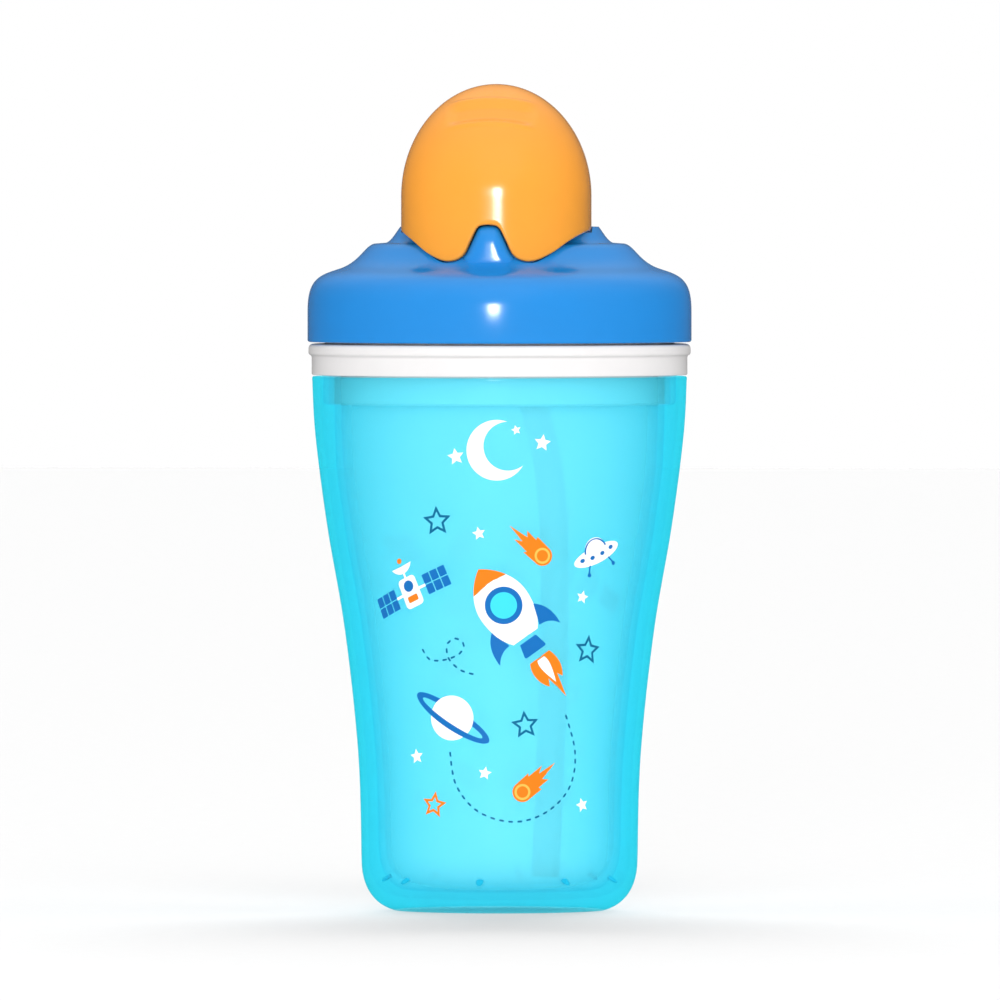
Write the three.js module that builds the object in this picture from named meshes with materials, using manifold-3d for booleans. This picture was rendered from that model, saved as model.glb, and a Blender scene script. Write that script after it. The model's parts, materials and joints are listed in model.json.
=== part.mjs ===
// A toddler's straw cup: a double-walled tumbler, a white threaded collar, a screw lid and a flip-up cover
// that folds a soft straw down. Millimetres, +Z up, the origin at the centre of the foot, and the drinking
// side towards -Y. Every piece is a separate solid, with a clearance of about 0.3 mm to its neighbours.
import * as THREE from "three";
import { mergeVertices } from "three/addons/utils/BufferGeometryUtils.js";
import Module from "manifold-3d";

const wasm = await Module();
wasm.setup();

// ---------------------------------------------------------------- driving dimensions
const ROUND = 36; // facets round a large turned piece
const SMALL_ROUND = 18; // facets round a small turned piece
const CURVE_STEPS = 4; // chords along each curved stretch of a profile
const GAP = 0.3; // clearance between neighbouring pieces

const SHELL = { footInner: 16.5, foot: 23, waist: 30.2, cornerTop: 11, rim: 41, top: 116.8, wall: 1.6 };
const LINER = { airGap: 2.2, wall: 1.4, floor: 4.4, neck: 36.1, rim: 38, rimBottom: 133, rimTop: 134.4 };
const COLLAR = { outer: 41.1, bead: 41.8, bore: 36.4, neck: 38.2, neckTop: 132.7, flangeTop: 123.9 };
const THREAD = { starts: 2, lead: 8, sweep: 200, neckCrest: 39.6, lidCrest: 38.7, start: 126 };
const LID = {
  outer: 42,
  bore: 40,
  bottom: 124.3,
  plateau: 152,
  plateauUnder: 150,
  rimPeak: 149.5,
  seat: 148.1,
};
const GASKET = { inner: 34.7, outer: 38.2, bottom: 134.7, top: 136.9 };
const COVER = {
  halfWidth: 20.65,
  front: 23.4, // reach ahead of centreY
  frontPower: 2.4, // exponent of the superellipse in plan, ahead of centreY
  rear: 29.7,
  rearPower: 2.2,
  centreY: -9,
  springZ: 156.2, // the walls are upright below this height
  rise: 24.5,
  wall: 1.8,
};
const THUMB = { low: 172.3, high: 177.9, depth: 0.8, drop: 0.0143, halfWidth: 9.5 }; // finger groove
const SEAT_Z = 148.6; // lower edge of the cover at the sides and the rear
const HINGE = { y: 24.4, z: 151.6, barrel: 2.4, halfBarrel: 8.2, ear: 2.6, earWidth: 3, pintle: 1.3 };
const STRAW = { y: 2.5, bendZ: 162.5, outer: 4.6, neck: 5.2, bore: 2, reach: 23, fold: 80 }; // fold: degrees
const TUBE = { outer: 3, bore: 2.2, socket: 3.35, foot: 8.2 };
const VENT = { x: 9, y: -6, stem: 1.3 };

// ---------------------------------------------------------------- helpers
const v2 = (r, z) => new THREE.Vector2(r, z);
const rad = THREE.MathUtils.degToRad;

// A closed geometry as a manifold-3d solid with its faces pointing out.
function solid(geometry) {
  const flat = geometry.index ? geometry.toNonIndexed() : geometry;
  const bare = new THREE.BufferGeometry().setAttribute("position", flat.getAttribute("position"));
  const merged = mergeVertices(bare, 1e-4);
  const vertProperties = merged.attributes.position.array;
  const triVerts = new Uint32Array(merged.index.array);
  const made = new wasm.Manifold(new wasm.Mesh({ numProp: 3, vertProperties, triVerts }));
  if (made.volume() > 0) return made;
  for (let i = 0; i < triVerts.length; i += 3) {
    [triVerts[i + 1], triVerts[i + 2]] = [triVerts[i + 2], triVerts[i + 1]];
  }
  return new wasm.Manifold(new wasm.Mesh({ numProp: 3, vertProperties, triVerts }));
}

// A manifold-3d solid back as a three.js geometry.
function geometryOf(made) {
  const mesh = made.getMesh();
  const points = new Float32Array(mesh.numVert * 3);
  for (let i = 0; i < mesh.numVert; i++) {
    points.set(mesh.vertProperties.subarray(i * mesh.numProp, i * mesh.numProp + 3), i * 3);
  }
  const geometry = new THREE.BufferGeometry();
  geometry.setAttribute("position", new THREE.BufferAttribute(points, 3));
  geometry.setIndex(new THREE.BufferAttribute(mesh.triVerts, 1));
  return geometry;
}

// A profile of (radius, height) points turned about the Z axis, moved to (x, y).
function turned(profile, { segments = ROUND, x = 0, y = 0 } = {}) {
  const geometry = new THREE.LatheGeometry(profile, segments);
  return solid(geometry.rotateX(Math.PI / 2).translate(x, y, 0));
}

// A ring-shaped profile closes on its own first point.
const ring = (profile, options) => turned([...profile, profile[0]], options);

const bezier = (a, b, c, d) => new THREE.CubicBezierCurve(a, b, c, d).getPoints(CURVE_STEPS);

function box(x0, x1, y0, y1, z0, z1) {
  const geometry = new THREE.BoxGeometry(x1 - x0, y1 - y0, z1 - z0);
  return solid(geometry.translate((x0 + x1) / 2, (y0 + y1) / 2, (z0 + z1) / 2));
}

// A round bar along X between x0 and x1, centred on (y, z).
function barX(radius, x0, x1, y, z) {
  const geometry = new THREE.CylinderGeometry(radius, radius, x1 - x0, SMALL_ROUND);
  return solid(geometry.rotateZ(Math.PI / 2).translate((x0 + x1) / 2, y, z));
}

// An outline in (X, Z) made into a prism that runs along Y from y0 to y1.
function prismY(shape, y0, y1) {
  const geometry = new THREE.ExtrudeGeometry(shape, { depth: y1 - y0, bevelEnabled: false });
  return solid(geometry.rotateX(Math.PI / 2).translate(0, y1, 0));
}

// An outline in (Y, Z) made into a prism that runs along X from x0 to x1.
function prismX(shape, x0, x1) {
  const geometry = new THREE.ExtrudeGeometry(shape, { depth: x1 - x0, bevelEnabled: false });
  const turn = new THREE.Matrix4().makeBasis(
    new THREE.Vector3(0, 1, 0),
    new THREE.Vector3(0, 0, 1),
    new THREE.Vector3(1, 0, 0),
  );
  return solid(geometry.applyMatrix4(turn).translate(x0, 0, 0));
}

const bothSides = (made) => made.add(made.mirror([1, 0, 0]));

// A ridge of trapezoid section wound on a helix. It fades towards the root radius at both ends.
function helix({ root, crest, rootHalf, crestHalf, z, from, sweep }) {
  const flank = [v2(root, -rootHalf), v2(crest, -crestHalf), v2(crest, crestHalf), v2(root, rootHalf)];
  const steps = Math.round((sweep / 360) * ROUND);
  const section = new THREE.Shape(flank);
  const geometry = new THREE.ExtrudeGeometry(section, { depth: 1, steps, bevelEnabled: false });
  const at = geometry.getAttribute("position");
  const runOut = 0.07; // share of the length over which each end fades
  for (let i = 0; i < at.count; i++) {
    const along = at.getZ(i);
    const angle = rad(from + sweep * along);
    const fade = Math.min(1, 0.25 + along / runOut, 0.25 + (1 - along) / runOut);
    const r = root + (at.getX(i) - root) * fade;
    const height = z + at.getY(i) + (THREAD.lead * sweep * along) / 360;
    at.setXYZ(i, r * Math.cos(angle), r * Math.sin(angle), height);
  }
  return solid(geometry);
}

// ---------------------------------------------------------------- tumbler
// The outer wall's radius bulges from a straight waist to the wide rim in one slow S.
const shellWall = new THREE.SplineCurve([
  v2(SHELL.waist, SHELL.cornerTop),
  v2(30.9, 34),
  v2(33.8, 61),
  v2(37.7, 84),
  v2(40.3, 104),
  v2(SHELL.rim, SHELL.top),
]);
const shellPoints = shellWall.getPoints(9);
const inset = (points, by) => points.map((p) => v2(p.x - by, p.y));

function outerShell() {
  const { footInner, foot, waist, cornerTop, top, wall, rim } = SHELL;
  const recess = 0.8; // the middle of the underside stands clear of the table
  const corner = bezier(v2(foot, 0), v2(27.6, 1.2), v2(waist, 5.2), v2(waist, cornerTop));
  const innerCorner = bezier(v2(20.5, 2.8), v2(26, 3), v2(waist - wall, 6.4), v2(waist - wall, cornerTop));
  const profile = [
    v2(0, recess),
    v2(footInner, recess),
    v2(footInner + recess, 0),
    ...corner.slice(0, -1),
    ...shellPoints,
    v2(rim - wall, top),
    ...inset(shellPoints, wall).reverse().slice(1),
    ...innerCorner.reverse().slice(1),
    v2(0, 2.8),
  ];
  return turned(profile);
}

// The liner keeps an even air gap inside the shell, runs straight up the collar's neck and ends in a rim.
function innerLiner() {
  const { airGap, wall, floor, neck, rim, rimBottom, rimTop } = LINER;
  const away = SHELL.wall + airGap;
  const side = inset(shellPoints, away).filter((p) => p.x < neck - 0.4 && p.y > SHELL.cornerTop + 4);
  const foot = SHELL.waist - away;
  const corner = bezier(v2(19.5, floor), v2(23.6, floor), v2(foot, 8), v2(foot, 14));
  const inner = foot - wall;
  const top = floor + 1.6;
  const innerCorner = bezier(v2(18.5, top), v2(22.6, top), v2(inner, 9.4), v2(inner, 15));
  const profile = [
    v2(0, floor),
    ...corner,
    ...side,
    v2(neck, 107),
    v2(neck, rimBottom),
    v2(rim, rimBottom),
    v2(rim, rimTop - 0.4),
    v2(rim - 0.5, rimTop),
    v2(neck - wall, rimTop),
    v2(neck - wall, 107),
    ...inset(side, wall).reverse(),
    ...innerCorner.reverse(),
    v2(0, top),
  ];
  let made = turned(profile);
  const nubs = 8; // spacers under the floor, towards the shell
  for (let i = 0; i < nubs; i++) {
    const nub = box(15.4, 18.6, -0.7, 0.7, floor - 1.3, floor + 0.5);
    made = made.add(nub.rotate([0, 0, (360 / nubs) * (i + 0.5)]));
  }
  return made;
}

// The collar is welded to the shell and the liner, carries the thread and ends the tumbler in a bead.
function collarRing() {
  const { outer, bead, bore, neck, neckTop, flangeTop } = COLLAR;
  const spigot = SHELL.rim - SHELL.wall - GAP - 0.5;
  const profile = [
    v2(37.4, 110.6),
    v2(spigot - 0.5, 110.6),
    v2(spigot, 111.2),
    v2(spigot, SHELL.top + GAP),
    v2(outer, SHELL.top + GAP),
    v2(outer, 121),
    v2(bead - 0.2, 121.5),
    v2(bead, 122.2),
    v2(bead, 123.2),
    v2(bead - 0.3, flangeTop - 0.1),
    v2(bead - 0.8, flangeTop),
    v2(neck, flangeTop),
    v2(neck, neckTop - 0.4),
    v2(neck - 0.4, neckTop),
    v2(bore, neckTop),
    v2(bore, 118.6),
    v2(37.4, 117.6),
  ];
  let made = ring(profile);
  for (let i = 0; i < THREAD.starts; i++) {
    const from = (360 / THREAD.starts) * i;
    const ridge = { root: neck - 0.6, crest: THREAD.neckCrest, rootHalf: 1.2, crestHalf: 0.5 };
    made = made.add(helix({ ...ridge, z: THREAD.start, from, sweep: THREAD.sweep }));
  }
  return made;
}

// ---------------------------------------------------------------- cover
// The dome's outline in plan is a superellipse, squarer at the front than at the rear.
function domePoint(x, y, grow) {
  const angle = Math.atan2(y, x);
  const spread = Math.hypot(x, y);
  const power = 2 / (y < 0 ? COVER.frontPower : COVER.rearPower);
  const along = (value) => Math.sign(value) * Math.abs(value) ** power;
  const length = (y < 0 ? COVER.front : COVER.rear) + grow;
  return [
    (COVER.halfWidth + grow) * along(Math.cos(angle)) * spread,
    COVER.centreY + length * along(Math.sin(angle)) * spread,
  ];
}

// How deep the finger groove is at a point on the front of the dome.
function grooveDepth(x, y, z) {
  if (y > COVER.centreY) return 0;
  const level = z + THUMB.drop * x * x;
  const into = Math.min(level - THUMB.low, THUMB.high - level);
  const across = THUMB.halfWidth - Math.abs(x);
  const { smoothstep } = THREE.MathUtils;
  return THUMB.depth * smoothstep(into, -0.3, 0.8) * smoothstep(across, -1.5, 2.5);
}

// The dome as a filled solid, grown by a clearance or shrunk by a wall.
function dome(grow) {
  const rise = COVER.rise + grow;
  const latitudes = grow === 0 ? [0, 14, 28, 37, 42, 47, 52, 57, 62, 67, 77] : [0, 16, 32, 46, 60, 74];
  const arch = latitudes.map((a) => v2(Math.cos(rad(a)), COVER.springZ + rise * Math.sin(rad(a))));
  const profile = [v2(0, 138), v2(1, 138), ...arch, v2(0, COVER.springZ + rise)];
  const geometry = new THREE.LatheGeometry(profile, ROUND).rotateX(Math.PI / 2);
  const at = geometry.getAttribute("position");
  for (let i = 0; i < at.count; i++) {
    const [x, y] = domePoint(at.getX(i), at.getY(i), grow);
    const z = at.getZ(i);
    const sink = grow === 0 ? grooveDepth(x, y, z) : 0;
    at.setXYZ(i, x, y + sink * 0.7, z - sink * 0.7);
  }
  return solid(geometry);
}

// The front edge dips into two lobes beside a notch: (x, z) as seen from the front, mirrored about X = 0.
const edge = new THREE.SplineCurve([
  v2(0, 150.1),
  v2(2.3, 149.6),
  v2(3.8, 147),
  v2(5.9, 143.2),
  v2(9.4, 142.1),
  v2(13.5, 143.7),
  v2(17.6, 146.7),
  v2(COVER.halfWidth, SEAT_Z),
]);

// Everything under the cover's lower edge, lowered by a clearance. The edge is spread along rays from the
// dome's axis, so that it cuts the curved front wall square.
function underEdge(lower) {
  const { halfWidth, front, frontPower, centreY } = COVER;
  const geometry = new THREE.BoxGeometry(2, 2, 2, 40, 1, 1);
  const at = geometry.getAttribute("position");
  for (let i = 0; i < at.count; i++) {
    const point = edge.getPoint(Math.abs(at.getX(i)));
    const ahead = front * Math.max(0, 1 - (point.x / halfWidth) ** frontPower) ** (1 / frontPower);
    const ray = at.getZ(i) > 0 ? 0.3 : 1.6;
    const z = at.getY(i) > 0 ? point.y - lower : 130;
    at.setXYZ(i, Math.sign(at.getX(i)) * point.x * ray, centreY - ahead * ray, z);
  }
  return solid(geometry).add(box(-40, 40, centreY - 0.1, 45, 130, SEAT_Z - lower));
}

// The dome's wall down to its lower edge, made thicker all round by a clearance.
function coverWall(clearance) {
  const wall = dome(clearance).subtract(dome(-COVER.wall - clearance));
  return wall.subtract(underEdge(clearance * 1.8));
}

function flipCover() {
  const { y, z, barrel, halfBarrel, pintle, earWidth } = HINGE;
  const web = box(-halfBarrel, halfBarrel, 18, y, 150.7, 153.3);
  const hinge = web.add(barX(barrel, -halfBarrel, halfBarrel, y, z)).subtract(dome(-COVER.wall));
  const reach = halfBarrel + earWidth + 0.2;
  const pintles = barX(pintle, -reach, reach, y, z);
  const ribY = STRAW.y - 4.9; // the rib presses on the straw just beyond its fold
  const rib = box(-6, 6, ribY - 1, ribY + 1, STRAW.bendZ + 5.9, 181).intersect(dome(-COVER.wall / 2));
  return coverWall(0).add(hinge).add(pintles).add(rib);
}

// ---------------------------------------------------------------- lid
// The lid's section, from the middle of its raised centre outwards, down the skirt and back underneath.
function lidProfile() {
  const { outer, bore, bottom, plateau, plateauUnder, rimPeak, seat } = LID;
  const centre = [v2(0, plateau), v2(15.8, plateau), v2(16.2, plateau - 0.4), v2(16.6, seat + 0.4)];
  const moat = [v2(17.2, seat), v2(21.1, seat), v2(21.2, rimPeak)];
  const flare = bezier(v2(21.7, rimPeak), v2(22.6, 148.4), v2(23.6, 146.4), v2(24.8, 146));
  const sweep = bezier(v2(28.3, 145.3), v2(30.4, 143.6), v2(31, 141.4), v2(35.4, 140.2));
  const shoulder = bezier(v2(36.6, 139.7), v2(40.6, 138), v2(outer - 0.2, 136.6), v2(outer, 131));
  const skirt = [v2(outer, bottom + 0.5), v2(outer - 0.4, bottom), v2(bore, bottom), v2(bore, 135)];
  const groove = [v2(39.7, 136.4), v2(38.8, 137.2), v2(34.3, 137.2)];
  const plug = [v2(34.3, 133.6), v2(33.2, 133.6), v2(33.2, 138.4)];
  const underside = [v2(29.6, 140), v2(26, 142.4), v2(21.6, 143.6), v2(20, 146.2), v2(15, 146.6)];
  const inside = [...groove, ...plug, ...underside, v2(14.2, plateauUnder), v2(0, plateauUnder)];
  return [...centre, ...moat, ...flare, v2(27.4, 145.8), ...sweep, ...shoulder, ...skirt, ...inside];
}

// A post that carries one end of the cover's hinge barrel.
function ear() {
  const { y, z, halfBarrel, earWidth } = HINGE;
  const post = new THREE.Shape();
  post.moveTo(y - HINGE.ear, 143.4);
  post.lineTo(y - HINGE.ear, z);
  post.absarc(y, z, HINGE.ear, Math.PI, 0, true);
  post.lineTo(y + HINGE.ear, 143.4);
  return prismX(post, halfBarrel + 0.4, halfBarrel + 0.4 + earWidth);
}

// The latch nose stands in the cover's notch, flush with the dome.
function latchNose() {
  const half = edge.getPoints(14).filter((p) => p.x < 6.5).map((p) => v2(p.x * 0.8, p.y - 0.5));
  const mirrored = half.slice(1).map((p) => v2(-p.x, p.y));
  const foot = half[half.length - 1].x;
  const outline = [v2(-foot, 139.6), v2(foot, 139.6), ...half.reverse(), ...mirrored];
  const fin = dome(-0.05).subtract(dome(-4.4));
  return fin.intersect(prismY(new THREE.Shape(outline), -40, -20));
}

// A round hole through the lid's raised centre.
function plateauHole(radius, x, y) {
  const geometry = new THREE.CylinderGeometry(radius, radius, 6, SMALL_ROUND);
  return solid(geometry.rotateX(Math.PI / 2).translate(x, y, LID.plateau - 1));
}

function screwLid() {
  const { y, z, halfBarrel, earWidth, pintle } = HINGE;
  const reach = halfBarrel + earWidth + 1;
  let made = turned(lidProfile()).subtract(coverWall(0.35)).add(latchNose()).add(bothSides(ear()));
  made = made.subtract(barX(pintle + 0.25, -reach, reach, y, z));
  made = made.subtract(plateauHole(STRAW.neck + GAP, 0, STRAW.y));
  made = made.subtract(plateauHole(VENT.stem + GAP, VENT.x, VENT.y));
  for (let i = 0; i < THREAD.starts; i++) {
    const ridge = { root: LID.bore + 0.6, crest: THREAD.lidCrest, rootHalf: 1, crestHalf: 0.45 };
    const pitch = THREAD.lead / THREAD.starts;
    const skip = 60; // degrees from the neck thread's start, so that the ridge stays inside the skirt
    const z = THREAD.start - pitch / 2 + (THREAD.lead * skip) / 360;
    made = made.add(helix({ ...ridge, z, from: (360 / THREAD.starts) * i + skip, sweep: THREAD.sweep }));
  }
  return made;
}

function lidGasket() {
  const { inner, outer, bottom, top } = GASKET;
  const profile = [
    v2(inner, bottom + 0.5),
    v2(inner + 0.5, bottom),
    v2(outer - 0.5, bottom),
    v2(outer, bottom + 0.5),
    v2(outer, top - 0.3),
    v2(outer - 0.3, top),
    v2(inner + 0.3, top),
    v2(inner, top - 0.3),
  ];
  return ring(profile);
}

function ventValve() {
  const { x, y, stem } = VENT;
  const profile = [
    v2(0, 148.2),
    v2(2.2, 148.4),
    v2(3, 149),
    v2(3, 149.4),
    v2(stem, 149.6),
    v2(stem, 152.4),
    v2(2.6, 152.4),
    v2(2.6, 153),
    v2(1.8, 153.7),
    v2(0, 153.9),
  ];
  return turned(profile, { segments: SMALL_ROUND, x, y });
}

// ---------------------------------------------------------------- straw
// The spout seals the lid's hole between two flanges and ends in a round shoulder at the bend.
function strawSpout() {
  const { y, bendZ, outer, neck, bore } = STRAW;
  const arc = (degrees) => v2(outer * Math.cos(rad(degrees)), bendZ + outer * Math.sin(rad(degrees)));
  const shoulder = [0, 16, 32, 48, 62].map(arc);
  const profile = [
    v2(TUBE.socket, 137),
    v2(5, 137),
    v2(5.3, 137.4),
    v2(5.3, 147.2),
    v2(8.4, 147.6),
    v2(8.4, 149.4),
    v2(neck, 149.7),
    v2(neck, 152.3),
    v2(7.2, 152.4),
    v2(7.2, 153.4),
    v2(6.4, 154.2),
    v2(outer, 154.7),
    ...shoulder,
    v2(bore, bendZ + 4),
    v2(bore, 147),
    v2(TUBE.socket, 146.2),
  ];
  return ring(profile, { segments: SMALL_ROUND, y });
}

// The mouthpiece beyond the bend, made upright on the bend's centre and folded forward.
function strawTip() {
  const { y, bendZ, bore, reach, fold } = STRAW;
  const profile = [
    v2(bore, 5),
    v2(4.5, 5),
    v2(4.4, 8),
    v2(4.4, reach - 2),
    v2(4.1, reach - 0.7),
    v2(3.3, reach),
    v2(2.4, reach - 0.2),
    v2(bore, reach - 0.9),
  ];
  return ring(profile, { segments: SMALL_ROUND }).rotate([fold, 0, 0]).translate([0, y, bendZ]);
}

// The tube hangs from the spout's socket and bows towards the front right of the liner.
function strawTube() {
  const route = new THREE.CatmullRomCurve3([
    new THREE.Vector3(0, STRAW.y, 145.6),
    new THREE.Vector3(0, STRAW.y, 140),
    new THREE.Vector3(0, STRAW.y, 134.5),
    new THREE.Vector3(2.4, 0.4, 124),
    new THREE.Vector3(8.6, -5.6, 108),
    new THREE.Vector3(12.2, -9, 90),
    new THREE.Vector3(12.9, -10.8, 64),
    new THREE.Vector3(12.2, -11.8, 36),
    new THREE.Vector3(11, -12, TUBE.foot),
  ]);
  const circle = (radius) => new THREE.Path().absarc(0, 0, radius, 0, 2 * Math.PI).getPoints(5);
  const section = new THREE.Shape(circle(TUBE.outer));
  section.holes.push(new THREE.Path(circle(TUBE.bore)));
  return solid(new THREE.ExtrudeGeometry(section, { extrudePath: route, steps: 26, bevelEnabled: false }));
}

// ---------------------------------------------------------------- materials and assembly
const cyanClear = new THREE.MeshStandardMaterial({ color: 0x48dcfa, roughness: 0.35, metalness: 0 });
const milkyLiner = new THREE.MeshStandardMaterial({ color: 0xeef6f8, roughness: 0.4, metalness: 0 });
const whitePlastic = new THREE.MeshStandardMaterial({ color: 0xf4f2ee, roughness: 0.35, metalness: 0 });
const bluePlastic = new THREE.MeshStandardMaterial({ color: 0x2b8cf0, roughness: 0.25, metalness: 0 });
const orangePlastic = new THREE.MeshStandardMaterial({ color: 0xfda63b, roughness: 0.25, metalness: 0 });
const clearSilicone = new THREE.MeshStandardMaterial({ color: 0xe8f0f2, roughness: 0.5, metalness: 0 });

const pieces = [
  ["outer_shell", outerShell(), cyanClear],
  ["inner_liner", innerLiner(), milkyLiner],
  ["collar_ring", collarRing(), whitePlastic],
  ["lid_gasket", lidGasket(), clearSilicone],
  ["screw_lid", screwLid(), bluePlastic],
  ["vent_valve", ventValve(), clearSilicone],
  ["straw_spout", strawSpout(), clearSilicone],
  ["straw_tip", strawTip(), clearSilicone],
  ["straw_tube", strawTube(), clearSilicone],
  ["flip_cover", flipCover(), orangePlastic],
];

const cup = new THREE.Group();
for (const [name, made, material] of pieces) {
  const mesh = new THREE.Mesh(geometryOf(made), material);
  mesh.name = name;
  cup.add(mesh);
}

export default cup;
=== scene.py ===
"""Looks of a toddler's straw cup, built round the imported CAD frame.

Shapes are given in millimetres in the row frame (+Z up, drinking side towards -Y) and made in metres.
A shape is a pair (vertices, faces) until solid() turns it into an object that rides on a CAD body.
"""
import json
import math

import bmesh
import bpy
from mathutils import Matrix, Vector
from mathutils.geometry import delaunay_2d_cdt

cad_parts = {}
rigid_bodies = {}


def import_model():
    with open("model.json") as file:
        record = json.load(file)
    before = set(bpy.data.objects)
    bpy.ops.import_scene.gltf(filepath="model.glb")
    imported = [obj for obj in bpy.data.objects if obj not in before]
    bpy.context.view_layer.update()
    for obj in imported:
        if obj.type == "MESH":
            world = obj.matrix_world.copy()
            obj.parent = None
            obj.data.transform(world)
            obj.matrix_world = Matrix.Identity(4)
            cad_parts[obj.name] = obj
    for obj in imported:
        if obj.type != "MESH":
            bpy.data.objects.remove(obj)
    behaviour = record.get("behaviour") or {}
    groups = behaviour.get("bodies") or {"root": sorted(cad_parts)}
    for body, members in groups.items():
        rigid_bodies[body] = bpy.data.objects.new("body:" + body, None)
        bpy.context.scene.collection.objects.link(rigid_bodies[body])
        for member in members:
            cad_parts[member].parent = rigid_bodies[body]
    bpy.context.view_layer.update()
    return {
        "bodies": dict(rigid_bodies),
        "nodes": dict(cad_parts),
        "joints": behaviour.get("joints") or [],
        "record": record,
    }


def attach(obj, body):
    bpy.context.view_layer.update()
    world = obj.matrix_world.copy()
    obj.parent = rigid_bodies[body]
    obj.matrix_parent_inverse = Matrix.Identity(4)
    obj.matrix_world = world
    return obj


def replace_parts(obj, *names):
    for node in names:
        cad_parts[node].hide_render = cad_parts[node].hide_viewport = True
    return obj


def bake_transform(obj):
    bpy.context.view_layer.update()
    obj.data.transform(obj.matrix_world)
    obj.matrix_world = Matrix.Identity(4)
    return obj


MM = 0.001
AROUND = 144  # columns round a large turned piece
SMALL_AROUND = 64  # columns round a small turned piece


# ---------------------------------------------------------------- curves in the plane
def bezier(a, b, c, d, count=12):
    """Points on a cubic curve, both ends included."""
    points = []
    for i in range(count + 1):
        t = i / count
        weights = ((1 - t) ** 3, 3 * t * (1 - t) ** 2, 3 * t * t * (1 - t), t**3)
        points.append(tuple(sum(w * p[k] for w, p in zip(weights, (a, b, c, d))) for k in (0, 1)))
    return points


def spline(knots, per_span=8):
    """Points on a smooth curve through the knots, both ends included."""
    last = len(knots) - 1
    points = []
    for i in range(last * per_span + 1):
        span = min(i // per_span, last - 1)
        t = i / per_span - span
        ends = (knots[max(span - 1, 0)], knots[span], knots[span + 1], knots[min(span + 2, last)])
        point = []
        for p0, p1, p2, p3 in zip(*ends):
            v1, v2 = (p2 - p0) / 2, (p3 - p1) / 2
            a, b = 2 * p1 - 2 * p2 + v1 + v2, -3 * p1 + 3 * p2 - 2 * v1 - v2
            point.append(((a * t + b) * t + v1) * t + p1)
        points.append(tuple(point))
    return points


def rounded(corners, closed=False, steps=5):
    """A path through (x, y) or (x, y, radius) corners, each rounded by its radius."""
    path = []
    count = len(corners)
    for i, corner in enumerate(corners):
        at = Vector(corner[:2])
        radius = corner[2] if len(corner) > 2 else 0
        if not radius or (not closed and i in (0, count - 1)):
            path.append(tuple(at))
            continue
        before = (Vector(corners[i - 1][:2]) - at).normalized()
        after = (Vector(corners[(i + 1) % count][:2]) - at).normalized()
        half = before.angle(after) / 2
        centre = at + (before + after).normalized() * radius / math.sin(half)
        start = at + before * radius / math.tan(half) - centre
        end = at + after * radius / math.tan(half) - centre
        turn = math.atan2(start.x * end.y - start.y * end.x, start.dot(end))
        for k in range(steps + 1):
            path.append(tuple(centre + Matrix.Rotation(turn * k / steps, 2) @ start))
    return path


def smoothstep(value, low, high):
    t = min(max((value - low) / (high - low), 0), 1)
    return t * t * (3 - 2 * t)


def height_at(curve, x):
    """The height of a curve, whose x only grows, at an x."""
    for (x0, z0), (x1, z1) in zip(curve, curve[1:]):
        if x <= x1:
            return z0 + (z1 - z0) * (x - x0) / (x1 - x0)
    return curve[-1][1]


def quarter(steps):
    """Angles of a quarter turn, both ends included."""
    return [math.pi / 2 * k / steps for k in range(steps + 1)]


def oval(half_width, half_height, count=48):
    angles = [2 * math.pi * k / count for k in range(count)]
    return [(half_width * math.cos(a), half_height * math.sin(a)) for a in angles]


def arc(radius, first, last, count=24):
    """Points on a circle from one angle to another, in degrees, both ends included."""
    angles = [math.radians(first + (last - first) * k / count) for k in range(count + 1)]
    return [(radius * math.cos(a), radius * math.sin(a)) for a in angles]


def shifted(loop, across, up):
    return [(x + across, y + up) for x, y in loop]


def both_halves(half):
    """A whole outline from its right half, which starts on the axis."""
    return half + [(-x, y) for x, y in reversed(half[1:])]


# ---------------------------------------------------------------- shapes as (vertices, faces)
def grid(rows):
    """Faces over rows of points of equal length, each row a closed loop."""
    width = len(rows[0])
    faces = []
    for i in range(len(rows) - 1):
        for j in range(width):
            k = (j + 1) % width
            faces.append((i * width + j, i * width + k, (i + 1) * width + k, (i + 1) * width + j))
    return [point for row in rows for point in row], faces


def capped(rows):
    """A grid whose first and last rows are closed by one face each."""
    verts, faces = grid(rows)
    width = len(rows[0])
    faces.append(tuple(reversed(range(width))))
    faces.append(tuple(range(len(verts) - width, len(verts))))
    return verts, faces


def turned(profile, around=AROUND, centre=(0, 0)):
    """A (radius, height) profile turned about an upright axis at centre."""
    angles = [2 * math.pi * j / around for j in range(around)]
    rows = []
    for r, z in profile:
        rows.append([(centre[0] + r * math.cos(a), centre[1] + r * math.sin(a), z) for a in angles])
    return grid(rows)


def ring(profile, around=AROUND, centre=(0, 0)):
    """A closed profile turned, as a ring."""
    return turned([*profile, profile[0]], around, centre)


def joined(*shapes):
    verts, faces = [], []
    for more, their_faces in shapes:
        faces += [tuple(i + len(verts) for i in face) for face in their_faces]
        verts += more
    return verts, faces


def moved(shape, matrix):
    return [tuple(matrix @ Vector(v)) for v in shape[0]], shape[1]


def mirrored(shape):
    """A shape and its mirror image in x."""
    verts, faces = shape
    return joined(shape, ([(-x, y, z) for x, y, z in verts], [tuple(reversed(face)) for face in faces]))


def helix(root, crest, root_half, crest_half, z, start, sweep=200, lead=8, steps=70):
    """A thread's ridge, from the angle start in degrees, that fades into its root at both ends."""
    rows = []
    for i in range(steps + 1):
        along = i / steps
        angle = math.radians(start + sweep * along)
        height = z + lead * sweep * along / 360
        fade = min(1, 0.1 + along / 0.07, 0.1 + (1 - along) / 0.07)
        tip = root + (crest - root) * fade
        corners = [(root, -root_half), (tip, -crest_half, 0.15), (tip, crest_half, 0.15), (root, root_half)]
        section = rounded(corners, steps=3)
        rows.append([(r * math.cos(angle), r * math.sin(angle), height + dz) for r, dz in section])
    return capped(rows)


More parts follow.
